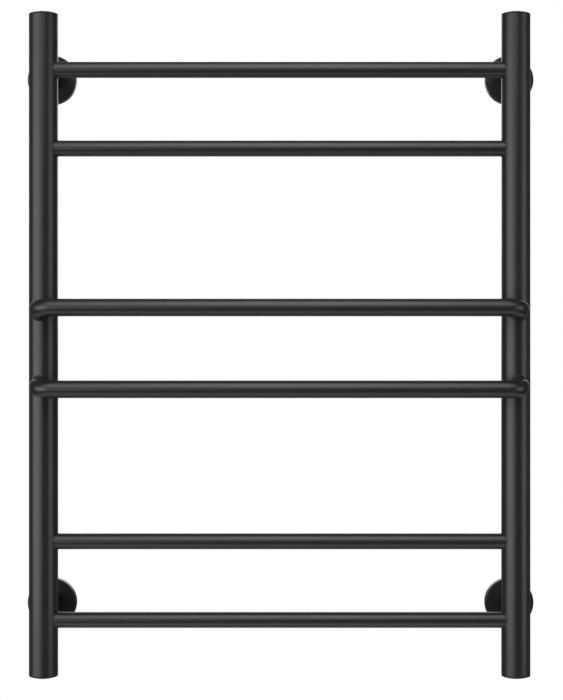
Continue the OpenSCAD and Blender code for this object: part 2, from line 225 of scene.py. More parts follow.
def meeting_line(centre, direction, radius):
    """Where a tube that starts on an upright's axis comes out of its surface."""
    direction = direction.normalized()
    axis = upright_axis(-1 if centre.x < 0 else 1)
    across = direction.orthogonal().normalized()
    square = direction.cross(across)
    line = []
    for i in range(SEAM_POINTS):
        angle = math.tau * i / SEAM_POINTS
        start = centre + radius * (math.cos(angle) * across + math.sin(angle) * square)
        x, y = start.x - axis.x, start.y - axis.y
        a = direction.x ** 2 + direction.y ** 2
        b = x * direction.x + y * direction.y
        c = x ** 2 + y ** 2 - UPRIGHT_R ** 2
        line.append(start + direction * ((-b + math.sqrt(b * b - a * c)) / a))
    return line


def grow(name, source, tree, values):
    """Runs a tree on a source mesh and keeps its result as a plain mesh."""
    made = bpy.data.objects.new(name, source)
    bpy.context.scene.collection.objects.link(made)
    modifier = made.modifiers.new(tree.name, "NODES")
    modifier.node_group = tree
    for item in tree.interface.items_tree:
        if item.item_type == "SOCKET" and item.name in values:
            modifier[item.identifier] = values[item.name]
    evaluated = made.evaluated_get(bpy.context.evaluated_depsgraph_get())
    mesh = bpy.data.meshes.new_from_object(evaluated)
    made.modifiers.remove(modifier)
    made.data = mesh
    if not mesh.polygons:
        raise RuntimeError(f"{name} came out empty")
    return made


def new_tree(name, inputs):
    """A Geometry Nodes tree with a geometry input and output, and these inputs."""
    tree = bpy.data.node_groups.new(name, "GeometryNodeTree")
    tree.interface.new_socket("Geometry", in_out="INPUT", socket_type="NodeSocketGeometry")
    for label, kind in inputs:
        tree.interface.new_socket(label, in_out="INPUT", socket_type="NodeSocket" + kind)
    tree.interface.new_socket("Geometry", in_out="OUTPUT", socket_type="NodeSocketGeometry")
    return tree, tree.nodes.new("NodeGroupInput")


def close_tree(tree, given, geometry):
    """Ends a tree: smooth, real geometry with its material."""
    smooth = add(tree, "GeometryNodeSetShadeSmooth", {"Geometry": geometry})
    real = add(tree, "GeometryNodeRealizeInstances", {"Geometry": smooth.outputs[0]})
    finish = add(tree, "GeometryNodeSetMaterial",
                 {"Geometry": real.outputs[0], "Material": given.outputs["Material"]})
    add(tree, "NodeGroupOutput", {"Geometry": finish.outputs[0]})
    return tree


def math_node(tree, operation, first, second=0.0):
    return add(tree, "ShaderNodeMath", {0: first, 1: second}, operation=operation).outputs[0]


# ---- finishes ----

def new_material(name, colour, roughness, metallic=0.0, ior=None):
    """A material with a Principled shader; returns it, its tree and the shader."""
    material = bpy.data.materials.new(name)
    material.use_nodes = True
    material.diffuse_color = colour
    tree = material.node_tree
    shader = tree.nodes["Principled BSDF"]
    shader.inputs["Base Color"].default_value = colour
    shader.inputs["Roughness"].default_value = roughness
    shader.inputs["Metallic"].default_value = metallic
    if ior:
        shader.inputs["IOR"].default_value = ior
    return material, tree, shader


def grain(tree, size_m, stretch=(1, 1, 1), detail=2.0):
    """Noise whose blotches are about size_m across, on Object coordinates."""
    place = add(tree, "ShaderNodeTexCoord").outputs["Object"]
    scaled = add(tree, "ShaderNodeMapping", {"Vector": place, "Scale": stretch})
    return add(tree, "ShaderNodeTexNoise", {"Vector": scaled.outputs[0],
                                            "Scale": 1 / size_m, "Detail": detail}).outputs[0]


def spread(tree, value, low, high):
    """A noise value, from its usual lowest to its usual highest, spread over low to high."""
    return add(tree, "ShaderNodeMapRange",
               {"Value": value, "From Min": NOISE_LOW, "From Max": NOISE_HIGH,
                "To Min": low, "To Max": high}).outputs[0]


def roughen(tree, shader, value, low, high):
    """The roughness wanders between low and high with a noise value."""
    tree.links.new(spread(tree, value, low, high), shader.inputs["Roughness"])


def relief(tree, shader, height, depth, below=None):
    """Bump of that depth in metres, on top of the bump below it."""
    sockets = {"Height": height, "Strength": 1.0, "Distance": depth}
    if below:
        sockets["Normal"] = below
    bump = add(tree, "ShaderNodeBump", sockets).outputs[0]
    tree.links.new(bump, shader.inputs["Normal"])
    return bump


def cloud(tree, shader, value, first, second):
    """The base colour wanders between two colours with a noise value."""
    tint(tree, shader, spread(tree, value, 0, 1), first, second)


def tint(tree, shader, value, first, second):
    """The base colour wanders between two colours with a value from 0 to 1."""
    mix = add(tree, "ShaderNodeMix", {"Factor": value, "A": first, "B": second},
              data_type="RGBA")
    tree.links.new(mix.outputs["Result"], shader.inputs["Base Color"])


def powder_coat(looks):
    """Polyester powder coat, sprayed and baked on steel tube: satin, with orange peel."""
    material, tree, shader = new_material("satin_powder_coat", looks.coat, 0.31, ior=1.5)
    peel = grain(tree, 2.4 * MM, detail=1.0)
    grit = grain(tree, 0.5 * MM, detail=1.0)
    pooled = grain(tree, 40 * MM)
    roughen(tree, shader, pooled, 0.29, 0.33)
    under = relief(tree, shader, peel, 0.05 * MM)
    relief(tree, shader, grit, 0.008 * MM, under)
    return material


def moulded_rubber(looks):
    """Compression-moulded rubber: black, dull, with a faint dusty bloom."""
    material, tree, shader = new_material("moulded_rubber", looks.rubber, 0.75, ior=1.52)
    bloom = grain(tree, 3 * MM)
    roughen(tree, shader, bloom, 0.68, 0.84)
    cloud(tree, shader, bloom, looks.rubber, linear("#2C2B2A"))
    relief(tree, shader, grain(tree, 0.4 * MM), 0.01 * MM)
    return material


def zinc_plate(looks):
    """Cold-rolled steel, pressed and zinc plated: grey-blue, cloudy, faintly streaked."""
    material, tree, shader = new_material("zinc_plated_sheet", looks.zinc, 0.34, metallic=1.0)
    bloom = grain(tree, 9 * MM, detail=4.0)
    streak = grain(tree, 0.5 * MM, stretch=(1, 1, 0.05))
    cloud(tree, shader, bloom, looks.zinc, linear("#B9B7A8"))
    roughen(tree, shader, streak, 0.28, 0.42)
    relief(tree, shader, streak, 0.012 * MM)
    return material


def turned_steel(looks):
    """Free-cutting steel, turned and zinc plated: bright rings left by the tool."""
    material, tree, shader = new_material("lathe_turned_steel", looks.steel, 0.26, metallic=1.0)
    place = add(tree, "ShaderNodeTexCoord").outputs["Object"]
    feed = 0.5 * MM      # coarser than a lathe's usual 0.1 mm, so that it can be seen at all
    rings = add(tree, "ShaderNodeTexWave", {"Vector": place, "Scale": WAVE_PERIOD / feed,
                                            "Distortion": 0.3, "Detail": 1.0},
                bands_direction="Y").outputs["Fac"]
    roughen(tree, shader, grain(tree, 4 * MM), 0.22, 0.34)
    relief(tree, shader, rings, 0.006 * MM)
    return material


def black_oxide(looks):
    """Hardened steel, heat-blackened and oiled: deep grey metal, worn on the socket."""
    material, tree, shader = new_material("heat_blackened_steel", looks.oxide, 0.4,
                                          metallic=1.0)
    wear = grain(tree, 1.2 * MM, detail=3.0)
    cloud(tree, shader, wear, looks.oxide, linear("#4A4A4C"))
    roughen(tree, shader, wear, 0.32, 0.5)
    relief(tree, shader, grain(tree, 0.2 * MM), 0.004 * MM)
    return material


def extruded_silicone(name, colour):
    """Extruded silicone rubber: soft sheen, talcum-dull patches, drawn lines."""
    material, tree, shader = new_material(name, colour, 0.5, ior=1.41)
    roughen(tree, shader, grain(tree, 5 * MM), 0.42, 0.62)
    relief(tree, shader, grain(tree, 0.8 * MM), 0.02 * MM)
    return material


def shrunk_tube(looks):
    """Heat-shrunk polyolefin: black, half gloss, puckered where it drew in."""
    material, tree, shader = new_material("heat_shrink_tube", looks.rubber, 0.42, ior=1.5)
    pucker = grain(tree, 2.5 * MM, stretch=(1, 1, 0.35))
    roughen(tree, shader, pucker, 0.36, 0.5)
    relief(tree, shader, pucker, 0.15 * MM)
    return material


def moulded_plastic(name, colour, shade, roughness):
    """Injection-moulded nylon or polyester: even, finely eroded by the mould."""
    material, tree, shader = new_material(name, colour, roughness, ior=1.53)
    patches = grain(tree, 6 * MM)
    cloud(tree, shader, patches, colour, shade)
    roughen(tree, shader, patches, roughness - 0.05, roughness + 0.06)
    relief(tree, shader, grain(tree, 0.25 * MM), 0.008 * MM)
    return material


def tinned_copper(looks):
    """Tinned copper, crimped: soft silver with dull, pressed patches."""
    material, tree, shader = new_material("hot_tinned_copper", looks.tin, 0.36, metallic=1.0)
    pressed = grain(tree, 1.5 * MM, detail=3.0)
    cloud(tree, shader, pressed, looks.tin, linear("#B8AFA2"))
    roughen(tree, shader, pressed, 0.28, 0.5)
    relief(tree, shader, pressed, 0.03 * MM)
    return material


def earth_wire_jacket(looks):
    """Extruded PVC, green with a yellow stripe down one side."""
    material, tree, shader = new_material("green_yellow_pvc", looks.earth_green, 0.45, ior=1.53)
    centre = middle("earth_wire")
    stripe_from = 0.62   # where the stripe starts, as a share of a turn
    place = add(tree, "ShaderNodeTexCoord").outputs["Object"]
    centred = add(tree, "ShaderNodeMapping", {"Vector": place, "Location": -centre})
    round_it = add(tree, "ShaderNodeTexGradient", {"Vector": centred.outputs[0]},
                   gradient_type="RADIAL")
    stripe = math_node(tree, "GREATER_THAN", round_it.outputs["Fac"], stripe_from)
    tint(tree, shader, stripe, looks.earth_green, looks.earth_yellow)
    relief(tree, shader, grain(tree, 0.6 * MM), 0.01 * MM)
    return material


def turned_brass(looks):
    """Turned brass: warm, bright, with a little tarnish."""
    material, tree, shader = new_material("turned_brass", looks.brass, 0.3, metallic=1.0)
    tarnish = grain(tree, 2 * MM, detail=3.0)
    cloud(tree, shader, tarnish, looks.brass, linear("#9B7B3E"))
    roughen(tree, shader, tarnish, 0.24, 0.42)
    relief(tree, shader, tarnish, 0.004 * MM)
    return material


FINISHES = {
    "black_powder_coat": powder_coat,
    "black_rubber": moulded_rubber,
    "zinc_plated_steel": zinc_plate,
    "turned_steel": turned_steel,
    "black_oxide_steel": black_oxide,
    "red_silicone": lambda looks: extruded_silicone(
        "extruded_red_silicone", looks.silicone_red),
    "black_silicone": lambda looks: extruded_silicone(
        "extruded_black_silicone", looks.silicone_black),
    "heat_shrink": shrunk_tube,
    "limiter_case": lambda looks: moulded_plastic(
        "moulded_polyester", looks.limiter, linear("#CFC8B2"), 0.5),
    "tinned_copper": tinned_copper,
    "white_nylon": lambda looks: moulded_plastic(
        "moulded_nylon", looks.nylon, linear("#D2CEC2"), 0.45),
    "green_pvc": earth_wire_jacket,
    "brass": turned_brass,
}
finishes = {}


def finish_of(slot):
    """The material for a slot of the record, made the first time it is asked for."""
    if slot not in finishes:
        finishes[slot] = FINISHES[slot](bpy.context.scene.rack_colours)
    return finishes[slot]


# ---- Geometry Nodes trees ----

def position(tree):
    """The X, Y and Z of each point."""
    place = add(tree, "GeometryNodeInputPosition").outputs[0]
    return add(tree, "ShaderNodeSeparateXYZ", {"Vector": place}).outputs


def upright_surface(tree, out, aside):
    """From the plane of an upright's axis to where a line aside of that axis is cut off.

    The surface is sqrt(R^2 - aside^2) away, and the line goes a little into it.
    """
    squares = math_node(tree, "SUBTRACT", math_node(tree, "POWER", out["Upright Radius"], 2.0),
                        math_node(tree, "MULTIPLY", aside, aside))
    return math_node(tree, "SUBTRACT", math_node(tree, "SQRT", squares), out["Sink"])


def sweep(tree, out, curve, **more):
    """A round section drawn along a curve."""
    ring = add(tree, "GeometryNodeCurvePrimitiveCircle",
               {"Resolution": out["Sides"], "Radius": out["Radius"]})
    sockets = {"Curve": curve.outputs[0], "Profile Curve": ring.outputs[0], **more}
    return add(tree, "GeometryNodeCurveToMesh", sockets)


def rung_tree():
    """Straight tubes on points, each end coped to the upright it meets."""
    tree, given = new_tree("Coped Rungs", [
        ("Pitch", "Float"), ("Radius", "Float"), ("Upright Radius", "Float"),
        ("Axis Y", "Float"), ("Sink", "Float"), ("Cuts", "Int"), ("Sides", "Int"),
        ("Material", "Material")])
    out = given.outputs
    half = math_node(tree, "MULTIPLY", out["Pitch"], 0.5)
    start = add(tree, "ShaderNodeCombineXYZ", {"X": math_node(tree, "MULTIPLY", half, -1.0)})
    end = add(tree, "ShaderNodeCombineXYZ", {"X": half})
    line = add(tree, "GeometryNodeCurvePrimitiveLine",
               {"Start": start.outputs[0], "End": end.outputs[0]})
    parts = add(tree, "GeometryNodeResampleCurve",
                {"Curve": line.outputs[0], "Count": out["Cuts"]})
    tube = sweep(tree, out, parts, **{"Fill Caps": True})
    placed = add(tree, "GeometryNodeInstanceOnPoints",
                 {"Points": out["Geometry"], "Instance": tube.outputs[0]})
    real = add(tree, "GeometryNodeRealizeInstances", {"Geometry": placed.outputs[0]})
    place = position(tree)
    # Each line of the tube is shortened until it ends at the upright's surface.
    off_axis = math_node(tree, "SUBTRACT", place["Y"], out["Axis Y"])
    reach = math_node(tree, "SUBTRACT", half, upright_surface(tree, out, off_axis))
    share = math_node(tree, "DIVIDE", reach, half)
    new_place = add(tree, "ShaderNodeCombineXYZ",
                    {"X": math_node(tree, "MULTIPLY", place["X"], share),
                     "Y": place["Y"], "Z": place["Z"]})
    coped = add(tree, "GeometryNodeSetPosition",
                {"Geometry": real.outputs[0], "Position": new_place.outputs[0]})
    return close_tree(tree, given, coped.outputs[0])


def rail_tree():
    """A tube bent along a path, with its ends coped to the front of the uprights."""
    tree, given = new_tree("Bent Front Rail", [
        ("Radius", "Float"), ("Bend Radius", "Float"), ("Bend Steps", "Int"),
        ("Half Pitch", "Float"), ("Upright Radius", "Float"), ("Axis Y", "Float"),
        ("Slope", "Float"), ("Sink", "Float"), ("Sides", "Int"), ("Material", "Material")])
    out = given.outputs
    path = add(tree, "GeometryNodeMeshToCurve", {"Mesh": out["Geometry"]})
    bent = add(tree, "GeometryNodeFilletCurve",
               {"Curve": path.outputs[0], "Count": out["Bend Steps"],
                "Radius": out["Bend Radius"]}, mode="POLY")
    tube = sweep(tree, out, bent, **{"Fill Caps": True})
    place = position(tree)
    off_axis = math_node(tree, "SUBTRACT", math_node(tree, "ABSOLUTE", place["X"]),
                         out["Half Pitch"])
    front = math_node(tree, "SUBTRACT", out["Axis Y"], upright_surface(tree, out, off_axis))
    back = math_node(tree, "SUBTRACT", front, place["Y"])
    rise = math_node(tree, "MULTIPLY", back, math_node(tree, "MULTIPLY", out["Slope"], -1.0))
    # Only the first and last rings lie behind the front half of the uprights.
    limit = math_node(tree, "SUBTRACT", out["Axis Y"],
                      math_node(tree, "MULTIPLY", out["Upright Radius"], 0.5))
    at_end = math_node(tree, "GREATER_THAN", place["Y"], limit)
    shift = add(tree, "ShaderNodeCombineXYZ", {"Y": back, "Z": rise})
    coped = add(tree, "GeometryNodeSetPosition",
                {"Geometry": tube.outputs[0], "Selection": at_end,
                 "Offset": shift.outputs[0]})
    return close_tree(tree, given, coped.outputs[0])


def bead_tree():
    """A rippled weld bead along closed lines."""
    tree, given = new_tree("Weld Beads", [
        ("Radius", "Float"), ("Ripple Length", "Float"), ("Ripple Depth", "Float"),
        ("Sides", "Int"), ("Material", "Material")])
    out = given.outputs
    path = add(tree, "GeometryNodeMeshToCurve", {"Mesh": out["Geometry"]})
    along = add(tree, "GeometryNodeSplineParameter").outputs["Length"]
    turn = math_node(tree, "MULTIPLY",
                     math_node(tree, "DIVIDE", along, out["Ripple Length"]), math.pi)
    ripple = math_node(tree, "ABSOLUTE", math_node(tree, "SINE", turn))
    swell = math_node(tree, "ADD",
                      math_node(tree, "MULTIPLY", ripple, out["Ripple Depth"]), 1.0)
    bead = sweep(tree, out, path, Scale=swell)
    return close_tree(tree, given, bead.outputs[0])


def screw_tree():
    """A screw at each point, all turned alike."""
    tree, given = new_tree("Set Screws", [("Screw", "Object"), ("Material", "Material")])
    out = given.outputs
    screw = add(tree, "GeometryNodeObjectInfo", {"Object": out["Screw"], "As Instance": True})
    placed = add(tree, "GeometryNodeInstanceOnPoints",
                 {"Points": out["Geometry"], "Instance": screw.outputs["Geometry"]})
    return close_tree(tree, given, placed.outputs[0])


# ---- sizes and colours that can be changed ----

def length(label, words, millimetres):
    return FloatProperty(name=label, description=words, default=millimetres * MM,
                         min=0, unit="LENGTH")


def colour(label, words, hex_colour):
    return FloatVectorProperty(name=label, description=words, default=linear(hex_colour),
                               size=4, min=0, max=1, subtype="COLOR")


class RackSizes(bpy.types.PropertyGroup):
    """Sizes that the frame's boxes do not give."""
    tube_sides: IntProperty(
        name="Tube Sides", description="Faces round a tube", default=96, min=24, max=256)
    tube_wall: length("Tube Wall", "Wall of the uprights", 1.5)
    rail_bend: length("Rail Bend", "Bend radius of the front rails, at mid-tube", 14)
    rail_lean: length("Rail Lean", "How far a rail's plane leans up or down", 4.2)
    seam_bevel: length("Seam Bevel", "Bevel on both sides of a cap's seam", 0.25)
    seam_gap: length("Seam Gap", "Open height of a cap's seam", 0.5)
    seam_depth: length("Seam Depth", "How deep a cap's seam is open", 1.2)
    cap_rim: length("Cap Rim", "Height of an end cap's rim under its dome", 1.2)
    cap_edge: length("Cap Edge", "Rounding between a cap's rim and its dome", 0.5)
    rosette_sheet: length("Rosette Sheet", "Sheet thickness of a rosette", 1.5)
    rosette_edge: length("Rosette Edge", "Rounding of a rosette's edge", 1.2)
    rosette_foot: length("Rosette Foot", "Rounding of a rosette's foot and hole", 0.3)
    hub_wall: length("Hub Wall", "Wall of the hub behind a rosette's hole", 3.5)
    hub_length: length("Hub Length", "How far the hub reaches back from a rosette's face", 5)
    punched_edge: length("Punched Edge", "Rounding of a wall plate's edges", 0.3)
    screw_spacing: length("Screw Spacing", "Distance between a plate's screw holes", 30)
    screw_hole_r: length("Screw Hole Radius", "Radius of a plate's screw holes", 2.25)
    spigot_r: length("Spigot Radius", "Outside of a spigot's shank", 5.5)
    spigot_bore: length("Spigot Bore", "Radius of the wire way through a spigot", 3.8)
    collar: length("Spigot Collar", "Thickness of a spigot's collar", 1)
    slide_gap: length("Sliding Gap", "Gap all round between parts that slide", 0.05)
    cut_edge: length("Cut Edge", "Bevel where a post, spigot or grub screw is cut off", 0.5)
    grub_length: length("Grub Screw", "Length of a grub screw", 3.65)
    grub_rim: length("Grub Screw Rim", "Bevel round a grub screw's socket end", 0.3)
    socket_half: length("Socket", "Half the width over flats of a grub screw's socket", 1.25)
    socket_depth: length("Socket Depth", "Depth of a grub screw's socket", 2)
    bead: length("Weld Bead", "Radius of the weld beads", 0.55)
    ripple: length("Weld Ripple", "Length of one ripple of a weld bead", 1.8)
    ripple_swell: FloatProperty(
        name="Ripple Swell", description="How much a ripple thickens a weld bead, as a share",
        default=0.12, min=0, max=1)
    bead_sides: IntProperty(
        name="Bead Sides", description="Faces round a weld bead", default=10, min=4, max=32)


class RackColours(bpy.types.PropertyGroup):
    """Base colours of the finishes."""
    coat: colour("Powder Coat", "The ladder, its caps, posts and rosettes", "#1A1A1A")
    rubber: colour("Rubber", "Rings and shrunk sleeves", "#1B1B1B")
    zinc: colour("Zinc", "Wall plates", "#C3C6CC")
    steel: colour("Steel", "Spigots", "#CACCCF")
    oxide: colour("Black Oxide", "Grub screws", "#303032")
    silicone_red: colour("Red Silicone", "Jacket of the heating cable", "#8C3B2E")
    silicone_black: colour("Black Silicone", "Jacket of the cold lead", "#202020")
    limiter: colour("Limiter Case", "Thermal limiter", "#DDD8C8")
    tin: colour("Tinned Copper", "Crimps and the earth terminal", "#CFCDC8")
    nylon: colour("Nylon", "Supply connector", "#E8E5DE")
    earth_green: colour("Earth Green", "Jacket of the earth wire", "#2F8A2E")
    earth_yellow: colour("Earth Yellow", "Stripe of the earth wire", "#D9C62A")
    brass: colour("Brass", "Earth screw", "#C9A856")
    floor: colour("Floor", "The pale studio floor", "#E4E3E0")


class RackStudio(bpy.types.PropertyGroup):
    """Camera and lights."""
    distance: length("Distance", "From the camera to the uprights", 1860)
    sideways: FloatProperty(name="Sideways", description="How far right the camera stands",
                            default=0.03, unit="LENGTH")
    lens: FloatProperty(name="Lens", description="Focal length in millimetres",
                        default=92.2, min=1, unit="CAMERA")
    frame_x: FloatProperty(name="Frame X", description="Ladder's place across the frame",
                           default=0.0026)
    frame_y: FloatProperty(name="Frame Y", description="Ladder's place up the frame",
                           default=-0.0073)
    room: FloatProperty(name="Room Light", description="Brightness of the room's walls",
                        default=0.12, min=0)
    floor_drop: length("Floor Drop", "From the rack down to the floor", 750)
    floor_reach: length("Floor Reach", "Half the width of the floor", 1300)


# ---- pieces of the ladder ----

def finished(name, mesh, body, slot, *nodes):
    """Links a mesh in its slot's finish and hands it over."""
    hand_over(put(name, mesh, finish_of(slot)), body, slot, *nodes)


def coated(name, mesh, *nodes):
    """The same for a powder-coated piece of the rack."""
    finished(name, mesh, "rack", "black_powder_coat", *nodes)


class RACK_OT_uprights(bpy.types.Operator):
    """Builds the two uprights, each a tube bevelled at its ends"""
    bl_idname = "towel_rack.uprights"
    bl_label = "Uprights"

    def execute(self, context):
        sizes = context.scene.rack_sizes
        bevel, inner = sizes.seam_bevel, UPRIGHT_R - sizes.tube_wall
        profile = [(inner, UPRIGHT_LENGTH), (inner, 0), (UPRIGHT_R - bevel, 0),
                   (UPRIGHT_R, bevel), (UPRIGHT_R, UPRIGHT_LENGTH - bevel),
                   (UPRIGHT_R - bevel, UPRIGHT_LENGTH)]
        for name in ("left_upright", "right_upright"):
            foot = Vector((*middle(name).xy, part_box(name)[0].z))
            mesh = turned(name + "_tube", profile, Matrix.Translation(foot),
                          sizes.tube_sides, closed=True)
            coated(name + "_tube", mesh, name)
        return {"FINISHED"}


class RACK_OT_end_caps(bpy.types.Operator):
    """Builds the four domed caps with the plugs that hold them in the uprights"""
    bl_idname = "towel_rack.end_caps"
    bl_label = "End Caps"

    def execute(self, context):
        sizes = context.scene.rack_sizes
        edge = sizes.cap_edge
        plug_r = UPRIGHT_R - sizes.tube_wall
        for corner in CORNERS:
            low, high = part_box(corner + "_cap")
            end = end_of(corner)
            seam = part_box("left_upright")[1 if end > 0 else 0].z
            top = (high.z - seam) if end > 0 else (seam - low.z)
            plug = (seam - low.z) if end > 0 else (high.z - seam)
            dome = top - sizes.cap_rim
            dome_r = (UPRIGHT_R ** 2 + dome ** 2) / (2 * dome)
            lean = math.degrees(math.asin((UPRIGHT_R - edge) / (dome_r - edge)))
            corner_z = top - dome_r + (dome_r - edge) * math.cos(math.radians(lean))
            neck_r = UPRIGHT_R - sizes.seam_depth
            rim_z = sizes.seam_gap
            profile = [(0, -plug), (plug_r, -plug), (plug_r, 0), (neck_r, 0), (neck_r, rim_z),
                       (UPRIGHT_R - sizes.seam_bevel, rim_z),
                       (UPRIGHT_R, rim_z + sizes.seam_bevel)]
            profile += arc((UPRIGHT_R - edge, corner_z), edge, 0, 90 - lean, 5)
            profile += arc((0, top - dome_r), dome_r, 90 - lean, 90, 14)[1:-1]
            profile.append((0, top))
            place = Matrix.Translation((side_of(corner) * HALF_PITCH, AXIS_Y, seam))
            if end < 0:
                place = place @ Matrix.Rotation(math.pi, 4, "X")
            mesh = turned(corner + "_dome", profile, place, sizes.tube_sides)
            coated(corner + "_dome", mesh, corner + "_cap")
        return {"FINISHED"}


class RACK_OT_rungs(bpy.types.Operator):
    """Builds the four straight rungs between the uprights"""
    bl_idname = "towel_rack.rungs"
    bl_label = "Rungs"

    def execute(self, context):
        sizes = context.scene.rack_sizes
        tree = rung_tree()
        for name in RUNGS:
            point = bpy.data.meshes.new(name + "_point")
            point.from_pydata([middle(name)], [], [])
            piece = grow(name + "_tube", point, tree, {
                "Pitch": 2 * HALF_PITCH, "Radius": RUNG_R, "Upright Radius": UPRIGHT_R,
                "Axis Y": AXIS_Y, "Sink": SINK, "Cuts": RUNG_CUTS,
                "Sides": sizes.tube_sides, "Material": finish_of("black_powder_coat")})
            hand_over(piece, "rack", "black_powder_coat", name)
        return {"FINISHED"}


def rail_course(name, end):
    """Height of a rail's axis, and its rise per metre towards the room."""
    low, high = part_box(name)
    height = high.z - RAIL_R if end > 0 else low.z + RAIL_R
    forward = AXIS_Y - RAIL_Y
    slope = end * bpy.context.scene.rack_sizes.rail_lean / (forward - UPRIGHT_R)
    return height, slope


class RACK_OT_front_rails(bpy.types.Operator):
    """Builds the two rails that stand forward of the uprights on bent legs"""
    bl_idname = "towel_rack.front_rails"
    bl_label = "Front Rails"

    def execute(self, context):
        sizes = context.scene.rack_sizes
        tree = rail_tree()
        for name, end in RAILS:
            height, slope = rail_course(name, end)
            root = height - slope * (AXIS_Y - RAIL_Y)
            path = polyline(name + "_path", [
                (-LEG_X, AXIS_Y, root), (-LEG_X, RAIL_Y, height),
                (LEG_X, RAIL_Y, height), (LEG_X, AXIS_Y, root)])
            piece = grow(name + "_tube", path, tree, {
                "Radius": RAIL_R, "Bend Radius": sizes.rail_bend, "Bend Steps": BEND_STEPS,
                "Half Pitch": HALF_PITCH, "Upright Radius": UPRIGHT_R, "Axis Y": AXIS_Y,
                "Slope": slope, "Sink": SINK, "Sides": sizes.tube_sides,
                "Material": finish_of("black_powder_coat")})
            hand_over(piece, "rack", "black_powder_coat", name)
        return {"FINISHED"}


class RACK_OT_posts(bpy.types.Operator):
    """Builds the four posts behind the uprights, bored for their spigots"""
    bl_idname = "towel_rack.posts"
    bl_label = "Posts"

    def execute(self, context):
        sizes = context.scene.rack_sizes
        bevel = sizes.cut_edge
        bore = sizes.spigot_r + sizes.slide_gap
        for corner in CORNERS:
            near_wall = -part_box(corner + "_post")[1].y
            reach = -AXIS_Y

            def coped(angle, radius=POST_R):
                across = radius * math.cos(angle)
                return reach - math.sqrt(UPRIGHT_R ** 2 - across ** 2) + SINK

            def coped_bore(angle):
                return coped(angle, bore)

            profile = [(bore, coped_bore), (bore, near_wall), (POST_R - bevel, near_wall),
                       (POST_R, near_wall + bevel), (POST_R, coped)]
            mesh = turned(corner + "_post_tube", profile, bracket_place(corner),
                          sizes.tube_sides, closed=True)
            coated(corner + "_post_tube", mesh, corner + "_post")
        return {"FINISHED"}


class RACK_OT_weld_beads(bpy.types.Operator):
    """Runs a weld bead round every tube that meets an upright"""
    bl_idname = "towel_rack.weld_beads"
    bl_label = "Weld Beads"

    def execute(self, context):
        sizes = context.scene.rack_sizes
        lines = []
        for side in (-1, 1):
            for name in RUNGS:
                centre = Vector((side * HALF_PITCH, *middle(name).yz))
                lines.append(meeting_line(centre, Vector((-side, 0, 0)), RUNG_R))
            for name, end in RAILS:
                height, slope = rail_course(name, end)
                root = height - slope * (AXIS_Y - RAIL_Y)
                centre = Vector((side * LEG_X, AXIS_Y, root))
                lines.append(meeting_line(centre, Vector((0, -1, slope)), RAIL_R))
        for corner in CORNERS:
            height = middle(corner + "_post").z
            centre = Vector((side_of(corner) * HALF_PITCH, AXIS_Y, height))
            lines.append(meeting_line(centre, Vector((0, 1, 0)), POST_R))
        points, edges = [], []
        for line in lines:
            first = len(points)
            points += line
            edges += [(first + i, first + (i + 1) % len(line)) for i in range(len(line))]
        source = bpy.data.meshes.new("weld_lines")
        source.from_pydata(points, edges, [])
        piece = grow("weld_beads", source, bead_tree(), {
            "Radius": sizes.bead, "Ripple Length": sizes.ripple,
            "Ripple Depth": sizes.ripple_swell, "Sides": sizes.bead_sides,
            "Material": finish_of("black_powder_coat")})
        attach(piece, "rack")
        return {"FINISHED"}


class RACK_OT_grub_screws(bpy.types.Operator):
    """Sets a hexagon-socket grub screw in the underside of each post"""
    bl_idname = "towel_rack.grub_screws"
    bl_label = "Grub Screws"

    def execute(self, context):
        sizes = context.scene.rack_sizes
        low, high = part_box("grub_screws")
        radius = (high.y - low.y) / 2
        place_y = (high.y + low.y) / 2
        bottom = low.z - middle("bottom_left_wall_plate").z
        tip = bottom + sizes.grub_length
        floor = bottom + sizes.socket_depth
        bevel, rim = sizes.cut_edge, sizes.grub_rim

        def hexagon(angle):
            return sizes.socket_half / math.cos(angle % (math.pi / 3) - math.pi / 6)

        profile = [(0, floor), (hexagon, floor), (hexagon, bottom), (radius - rim, bottom),
                   (radius, bottom + rim), (radius, tip - bevel), (radius - bevel, tip),
                   (0, tip)]
        mesh = turned("grub_screw", profile, Matrix.Identity(4), SCREW_SIDES)
        screw = put("grub_screw", mesh)
        points = bpy.data.meshes.new("grub_screw_points")
        plates = [middle(corner + "_wall_plate") for corner in CORNERS]
        points.from_pydata([(plate.x, place_y, plate.z) for plate in plates], [], [])
        piece = grow("set_grub_screws", points, screw_tree(), {
            "Screw": screw, "Material": finish_of("black_oxide_steel")})
        piece.data.shade_smooth()
        piece.data.set_sharp_from_angle(angle=SMOOTH_BELOW)
        bpy.data.objects.remove(screw)
        hand_over(piece, "rack", "black_oxide_steel", "grub_screws")
        return {"FINISHED"}


# ---- covers and wall fixings ----

